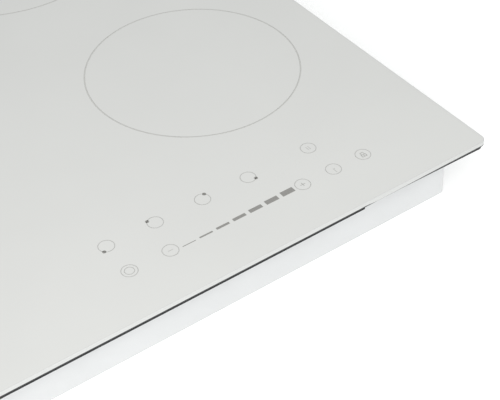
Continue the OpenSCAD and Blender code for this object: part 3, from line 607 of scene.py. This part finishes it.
printLook = {
    "thick": 0.04 * mm,
    "below": 0.005 * mm,             # from the part's top down to the print's
    "zoneLine": 0.9 * mm,
    "zoneSteps": 192,
    "zoneGrowth": 8 * mm,            # a zone's ring is this much wider than its coil former
    "upperRow": 61.2 * mm,
    "lowerRow": 35.8 * mm,
    "selectors": [240.4 * mm, 207 * mm, 173.4 * mm, 140 * mm],
    "pause": 94 * mm,
    "power": 240.4 * mm,
    "minus": 212.8 * mm,
    "plus": 117.6 * mm,
    "timer": 94 * mm,
    "lock": 70.9 * mm,
    "keyRadius": 4.9 * mm,
    "keyLine": 0.42 * mm,
    "keySteps": 64,
    "innerRadius": 2.92 * mm,
    "innerSteps": 48,
    "dotRadius": 1.24 * mm,
    "dotSteps": 32,
    "dotOffset": 3.45 * mm,
    "strokeLength": 3.4 * mm,
    "strokeWidth": 0.42 * mm,
    "barStart": 201 * mm,
    "barFront": 33.85 * mm,
    "barPitch": 12 * mm,
    "barLength": 9.1 * mm,
    "barThin": 0.5 * mm,
    "barDeep": 4.2 * mm,
    "barCount": 7,
}


def onGlass(fromRight, fromFront):
    return Vector((glassHigh.x - fromRight, glassLow.y + fromFront,
                   glassHigh.z - printLook["thick"] / 2 - printLook["below"]))


def printZones(look):
    for zone in zones:
        low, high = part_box("coil_former_" + zone)
        middle = (low + high) / 2
        middle.z = onGlass(0, 0).z
        radius = (high.x - low.x + look["zoneGrowth"]) / 2
        mesh = bakeTree("zoneRing", ringMaker, [middle], Radius=radius, Line=look["zoneLine"],
                        Thick=look["thick"], Steps=look["zoneSteps"], Ink=materials["lineInk"])
        addPiece(pieceName("zoneRing_" + zone), mesh, root, "white_glass")


def printKeys(look):
    upper = [onGlass(x, look["upperRow"]) for x in (*look["selectors"], look["pause"])]
    lower = [onGlass(look[key], look["lowerRow"]) for key in ("power", "minus", "plus", "timer", "lock")]
    mesh = bakeTree("keyRings", ringMaker, upper + lower, Radius=look["keyRadius"],
                    Line=look["keyLine"], Thick=look["thick"], Steps=look["keySteps"],
                    Ink=materials["keyInk"])
    addPiece("keyRings", mesh, root, "white_glass")
    mesh = bakeTree("powerRing", ringMaker, [lower[0]], Radius=look["innerRadius"],
                    Line=look["keyLine"], Thick=look["thick"], Steps=look["innerSteps"],
                    Ink=materials["keyInk"])
    addPiece("powerRing", mesh, root, "white_glass")
    offset = look["dotOffset"]
    corners = [(-1, -1), (-1, 1), (1, 1), (1, -1)]
    dots = [point + Vector((x * offset, y * offset, 0)) for point, (x, y) in zip(upper, corners)]
    mesh = bakeTree("selectorDots", dotMaker, dots, Radius=look["dotRadius"], Thick=look["thick"],
                    Steps=look["dotSteps"], Ink=materials["darkInk"])
    addPiece("selectorDots", mesh, root, "white_glass")
    mesh = bakeTree("powerBars", barMaker, [onGlass(look["barStart"], look["barFront"])],
                    Count=look["barCount"], Pitch=look["barPitch"], Length=look["barLength"],
                    Thin=look["barThin"], Deep=look["barDeep"], Thick=look["thick"],
                    Ink=materials["barInk"])
    addPiece("powerBars", mesh, root, "white_glass")


def addStroke(bm, centre, length, width, turn):
    thick = printLook["thick"]
    made = bmesh.ops.create_cube(bm, size=1)["verts"]
    placed = Matrix.Translation(centre) @ Matrix.Rotation(radians(turn), 4, "Z")
    bmesh.ops.transform(bm, verts=made, matrix=placed @ Matrix.Diagonal((length, width, thick, 1)))


def printSigns(look):
    length, width = look["strokeLength"], look["strokeWidth"]
    signs = {
        # sign: strokes as x, y, length, width, turn from the key's middle
        "minus": [(0, 0, length, width, 0)],
        "plus": [(0, 0, length, width, 0), (0, (length + width) / 4, (length - width) / 2, width, 90),
                 (0, -(length + width) / 4, (length - width) / 2, width, 90)],
        "pause": [(-0.75 * mm, 0, length, width, 90), (0.75 * mm, 0, length, width, 90)],
        "timer": [(0, -1.9 * mm, 3.2 * mm, width, 90), (0.4 * mm, 0, 1.4 * mm, width, 0)],
        "lock": [(0, -0.2 * mm, 3.6 * mm, width, 0), (0, -2.2 * mm, 3.6 * mm, width, 0),
                 (-1.6 * mm, -1.2 * mm, 1.6 * mm, width, 90), (1.6 * mm, -1.2 * mm, 1.6 * mm, width, 90),
                 (0, -1.2 * mm, 0.9 * mm, 0.6 * mm, 90), (-1.05 * mm, 0.8 * mm, 1.6 * mm, width, 90),
                 (1.05 * mm, 0.8 * mm, 1.6 * mm, width, 90), (0, 1.8 * mm, 2.1 * mm, width, 0)],
    }
    for sign, strokes in signs.items():
        row = look["upperRow"] if sign == "pause" else look["lowerRow"]
        centre = onGlass(look[sign], row)
        bm = bmesh.new()
        for x, y, strokeLength, strokeWidth, turn in strokes:
            addStroke(bm, centre + Vector((x, y, 0)), strokeLength, strokeWidth, turn)
        mesh = meshFrom(sign + "Sign", bm, "signInk" if sign in ("plus", "lock") else "keyInk")
        addPiece(sign + "Sign", mesh, root, "white_glass")


printZones(printLook)
printKeys(printLook)
printSigns(printLook)
print("printing on the glass made")


# Foam strip under the rim: laid by hand all round, with its joint near the front right corner

stripLook = {
    "inset": 1.5 * mm,               # from the glass edge to the strip's outer side
    "bend": 3.5 * mm,
    "innerBend": 0.3 * mm,
    "bendSteps": 8,
    "thick": 2.96 * mm,
    "wide": 9 * mm,
    "corner": 0.45 * mm,
    "cornerSteps": 3,
    "smoothAngle": 40,
    "below": 0.02 * mm,              # under the top of the seal that it stands for
    "jointX": 198 * mm,
    # X and the drift inwards of the last stretch, on its way back to the joint
    "tail": [(285 * mm, 0.15 * mm), (272 * mm, 0.35 * mm), (260 * mm, 0.55 * mm), (247 * mm, 0.85 * mm),
             (233 * mm, 1.05 * mm), (221 * mm, 1.2 * mm), (213 * mm, 1.3 * mm)],
}


def stripLine(look, inward):
    halfX = glassHigh.x - look["inset"] - inward
    halfY = glassHigh.y - look["inset"] - inward
    bend = max(look["bend"] - inward, look["innerBend"])
    around = roundedLoop(halfX, halfY, bend, look["bendSteps"])
    quarter = len(around) // 4
    line = [(look["jointX"], -halfY)]
    line += reversed(around[2 * quarter:3 * quarter])                # front left
    line += reversed(around[quarter:2 * quarter])
    line += reversed(around[:quarter])
    line += reversed(around[3 * quarter:])                           # back to the front right
    return line + [(x, -halfY + drift) for x, drift in look["tail"]]


def buildStrip(look):
    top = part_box("seal_tape")[1].z - look["below"]
    corner, steps = look["corner"], look["cornerSteps"]
    section = []                     # inward, down from the strip's top, round its four soft corners
    for x, z, start in ((corner, corner, 180), (look["wide"] - corner, corner, 270),
                        (look["wide"] - corner, look["thick"] - corner, 0),
                        (corner, look["thick"] - corner, 90)):
        for i in range(steps + 1):
            turn = radians(start + 90 * i / steps)
            section.append((x + corner * cos(turn), z + corner * sin(turn)))
    bm = bmesh.new()
    rows = [[bm.verts.new((x, y, top - down)) for x, y in stripLine(look, inward)]
            for inward, down in section]
    for i, row in enumerate(rows):
        before = rows[i - 1]
        for j in range(1, len(row)):
            bm.faces.new((before[j - 1], before[j], row[j], row[j - 1]))
    bm.faces.new([row[0] for row in rows])
    bm.faces.new([row[-1] for row in rows])
    bmesh.ops.recalc_face_normals(bm, faces=bm.faces)
    mesh = meshFrom("foamStrip", bm, "seal_foam")
    smoothByAngle(mesh, look["smoothAngle"])
    addPiece("foamStrip", mesh, root, "seal_foam", "seal_tape")


buildStrip(stripLook)
print("foam strip made")


# Sheet-metal and moulded pieces: the frame's own shapes with their edges softened

softEdges = {
    # node: width of the rounded edge, segments
    "housing": (0.22 * mm, 2),
    "housing_screws": (0.18 * mm, 2),
    "cable_bush": (0.5 * mm, 3),
    "terminal_lid": (0.3 * mm, 2),
    "terminal_box": (0.25 * mm, 2),
    "clamp_front_left": (0.35 * mm, 2),
    "clamp_rear_left": (0.35 * mm, 2),
    "clamp_front_right": (0.35 * mm, 2),
    "clamp_rear_right": (0.35 * mm, 2),
    "clamp_screws": (0.2 * mm, 2),
    "support_frame": (0.15 * mm, 2),
    "terminal_block": (0.3 * mm, 2),
    "terminal_screws": (0.15 * mm, 2),
    "coil_former_front_left": (0.3 * mm, 2),
    "coil_former_rear_left": (0.3 * mm, 2),
    "coil_former_front_right": (0.3 * mm, 2),
    "coil_former_rear_right": (0.3 * mm, 2),
    "ferrites_front_left": (0.35 * mm, 2),
    "ferrites_rear_left": (0.35 * mm, 2),
    "ferrites_front_right": (0.35 * mm, 2),
    "ferrites_rear_right": (0.35 * mm, 2),
    "zone_sensors": (0.4 * mm, 2),
    "tray_posts": (0.25 * mm, 2),
    "heatsink_left": (0.2 * mm, 2),
    "heatsink_right": (0.2 * mm, 2),
    "transistors": (0.35 * mm, 2),
    "capacitors": (0.9 * mm, 3),
    "filter_parts": (0.6 * mm, 3),
    "board_screws": (0.2 * mm, 2),
    "fan_frame_left": (0.4 * mm, 2),
    "fan_frame_right": (0.4 * mm, 2),
    "fan_impeller_left": (0.2 * mm, 2),
    "fan_impeller_right": (0.2 * mm, 2),
    "air_ducts": (0.4 * mm, 2),
    "touch_carrier": (0.35 * mm, 2),
    "touch_lights": (0.3 * mm, 2),
    "buzzer": (0.4 * mm, 3),
    "ribbon_cable": (0.25 * mm, 2),
}
softHabits = {
    # angles in degrees
    "flat": 0.5,                     # triangles that meet flatter than this become one face
    "roundFrom": 35,
    "smoothAngle": 32,
}
nodeBody = {node: body for body, nodes in frame["record"]["behaviour"]["bodies"].items()
            for node in nodes}


def mergedCopy(node):
    bm = bmesh.new()
    bm.from_mesh(frame["nodes"][node].data)
    bmesh.ops.remove_doubles(bm, verts=bm.verts, dist=mergeGap)
    return bm


def soften(node, width, segments, habits=softHabits):
    name = pieceName(node)
    slotName = frame["nodes"][node].data.materials[0].name
    bm = mergedCopy(node)
    bmesh.ops.dissolve_limit(bm, angle_limit=radians(habits["flat"]), verts=bm.verts, edges=bm.edges)
    mesh = meshFrom(name, bm, slotName)
    mesh.shade_smooth()
    piece = bpy.data.objects.new("unrounded", mesh)
    bpy.context.collection.objects.link(piece)
    bevel = piece.modifiers.new("round", "BEVEL")
    bevel.width = width
    bevel.segments = segments
    bevel.limit_method = "ANGLE"
    bevel.angle_limit = radians(habits["roundFrom"])
    graph = bpy.context.evaluated_depsgraph_get()
    baked = bpy.data.meshes.new_from_object(piece.evaluated_get(graph), depsgraph=graph)
    bpy.data.objects.remove(piece)
    baked.name = name
    smoothByAngle(baked, habits["smoothAngle"])
    addPiece(name, baked, nodeBody[node], slotName, node)


for node, (width, segments) in softEdges.items():
    soften(node, width, segments)
print("softened pieces made:", len(softEdges))


# Wound and coiled pieces inside, placed by the loose parts of the nodes that they stand for

wireLook = {
    "windingPitch": 4.12 * mm,
    "windingWire": 1.98 * mm,
    "windingHole": 20 * mm,
    "windingSteps": 56,
    "windingSides": 10,
    "traySpring": {"turns": 6.0, "radius": 2.35 * mm, "wire": 0.42 * mm, "steps": 20, "sides": 6},
    "touchSpring": {"turns": 7.0, "radius": 3.6 * mm, "wire": 0.36 * mm, "steps": 24, "sides": 6},
    "chokeRing": 10 * mm,
    "chokeLoop": 4.02 * mm,
    "chokeWire": 0.45 * mm,
    "chokeTurns": 30,
    "coreRadius": 3.55 * mm,
    "coreSteps": 40,
    "coreSides": 14,
}


def looseBoxes(node):
    bm = mergedCopy(node)
    seen, boxes = set(), []
    for start in bm.verts:
        if start in seen:
            continue
        seen.add(start)
        island, waiting = [], [start]
        while waiting:
            vert = waiting.pop()
            island.append(vert.co.copy())
            for edge in vert.link_edges:
                other = edge.other_vert(vert)
                if other not in seen:
                    seen.add(other)
                    waiting.append(other)
        boxes.append((Vector([min(co[i] for co in island) for i in range(3)]),
                      Vector([max(co[i] for co in island) for i in range(3)])))
    bm.free()
    return boxes


def buildWindings(look):
    for node in ["winding_" + zone for zone in zones]:
        low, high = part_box(node)
        start = look["windingHole"] + look["windingWire"]
        end = (high.x - low.x) / 2 - look["windingWire"]
        mesh = bakeTree("winding", coilMaker, [(low + high) / 2], Start=start, End=end, Height=0.0,
                        Turns=(end - start) / look["windingPitch"], Wire=look["windingWire"],
                        Steps=look["windingSteps"], Sides=look["windingSides"],
                        Metal=materials["copper"])
        addPiece(pieceName(node), mesh, root, "copper", node)


def buildSprings(node, spring):
    boxes = looseBoxes(node)
    wire = spring["wire"]
    points = [((low.x + high.x) / 2, (low.y + high.y) / 2, low.z + wire) for low, high in boxes]
    low, high = boxes[0]
    mesh = bakeTree(pieceName(node), coilMaker, points, Turns=spring["turns"], Start=spring["radius"],
                    End=spring["radius"], Height=high.z - low.z - 2 * wire, Wire=wire,
                    Steps=spring["steps"], Sides=spring["sides"], Metal=materials["spring_steel"])
    addPiece(pieceName(node), mesh, root, "spring_steel", node)


def buildChokes(look):
    centres = [(low + high) / 2 for low, high in looseBoxes("chokes")]
    mesh = bakeTree("chokeWindings", woundRingMaker, centres, Turns=look["chokeTurns"],
                    Ring=look["chokeRing"], Loop=look["chokeLoop"], Wire=look["chokeWire"],
                    Metal=materials["choke_wire"])
    addPiece("chokeWindings", mesh, root, "choke_wire", "chokes")
    bm = bmesh.new()
    steps, sides, thick = look["coreSteps"], look["coreSides"], look["coreRadius"]
    section = [(look["chokeRing"] + thick * cos(2 * pi * j / sides), thick * sin(2 * pi * j / sides))
               for j in range(sides)]
    for centre in centres:
        grid = []
        for i in range(steps):
            turn = 2 * pi * i / steps
            grid.append([bm.verts.new(centre + Vector((out * cos(turn), out * sin(turn), up)))
                         for out, up in section])
        for i in range(steps):
            for j in range(sides):
                bm.faces.new((grid[i - 1][j - 1], grid[i][j - 1], grid[i][j], grid[i - 1][j]))
    bmesh.ops.recalc_face_normals(bm, faces=bm.faces)
    mesh = meshFrom("chokeCores", bm, "ferrite")
    mesh.shade_smooth()
    addPiece("chokeCores", mesh, root, "ferrite")


buildWindings(wireLook)
buildSprings("tray_springs", wireLook["traySpring"])
buildSprings("touch_springs", wireLook["touchSpring"])
buildChokes(wireLook)
print("windings, springs and chokes made")


# Small soldered chips on the free parts of the boards

chipLook = {
    "seed": 23,
    "gap": 6.4 * mm,
    "jitter": 1.1 * mm,
    "filled": 0.42,                  # share of the free places that have a chip
    "clear": 2.4 * mm,               # half the side of the square that has to be free
    "dropFrom": 1 * mm,              # above the board, where the search for it starts
    "dropTo": 1.5 * mm,              # how far down it is searched
    "size": (1.9 * mm, 1.25 * mm, 0.55 * mm),
    "end": (0.4 * mm, 1.33 * mm, 0.61 * mm),
    "boards": ["power_board_left", "power_board_right", "filter_board", "touch_board"],
    "around": ["heatsink_left", "heatsink_right", "transistors", "capacitors", "chokes", "filter_parts",
               "board_screws", "fan_frame_left", "fan_frame_right", "air_ducts", "coil_leads", "tray_posts",
               "touch_springs", "touch_lights", "buzzer", "ribbon_cable", "terminal_box"],
}


def chipPlaces(look):
    dice = Random(look["seed"])
    gap, clear, jitter, dropFrom = look["gap"], look["clear"], look["jitter"], look["dropFrom"]
    taken = [box for node in look["around"] for box in looseBoxes(node)]
    down = Vector((0, 0, -1))
    places = []
    for board in look["boards"]:
        low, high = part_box(board)
        data = frame["nodes"][board].data
        surface = BVHTree.FromPolygons([vert.co for vert in data.vertices],
                                       [face.vertices for face in data.polygons])
        near = [(a, b) for a, b in taken if a.z < high.z + dropFrom and b.z > high.z]
        for i in range(int((high.x - low.x) / gap)):
            for j in range(int((high.y - low.y) / gap)):
                x = low.x + (i + 0.5) * gap + dice.uniform(-1, 1) * jitter
                y = low.y + (j + 0.5) * gap + dice.uniform(-1, 1) * jitter
                if dice.random() > look["filled"]:
                    continue
                corners = [Vector((x + u * clear, y + v * clear, high.z + dropFrom))
                           for u in (-1, 1) for v in (-1, 1)]
                onBoard = all(surface.ray_cast(corner, down, look["dropTo"])[0] for corner in corners)
                free = all(x + clear < a.x or x - clear > b.x or y + clear < a.y or y - clear > b.y
                           for a, b in near)
                if onBoard and free:
                    places.append((x, y, high.z + look["end"][2] / 2))
    return places


def buildChips(look):
    places = chipPlaces(look)
    for name, size, copies, apart, slotName in (
            ("chipBodies", look["size"], 1, 0.0, "black_plastic"),
            ("chipEnds", look["end"], 2, look["size"][0], "plated_steel")):
        mesh = bakeTree(name, chipMaker, places, Length=size[0], Width=size[1], Height=size[2],
                        Copies=copies, Apart=apart, Seed=look["seed"], Finish=materials[slotName])
        addPiece(name, mesh, root, slotName)
    print("soldered chips:", len(places))


buildChips(chipLook)


# Every CAD node still shown takes the finish of its slot
for node in frame["nodes"].values():
    slotName = node.data.materials[0].name.split(".")[0]
    for i in range(len(node.data.materials)):
        node.data.materials[i] = materials[slotName]
print("carried-over pieces finished")
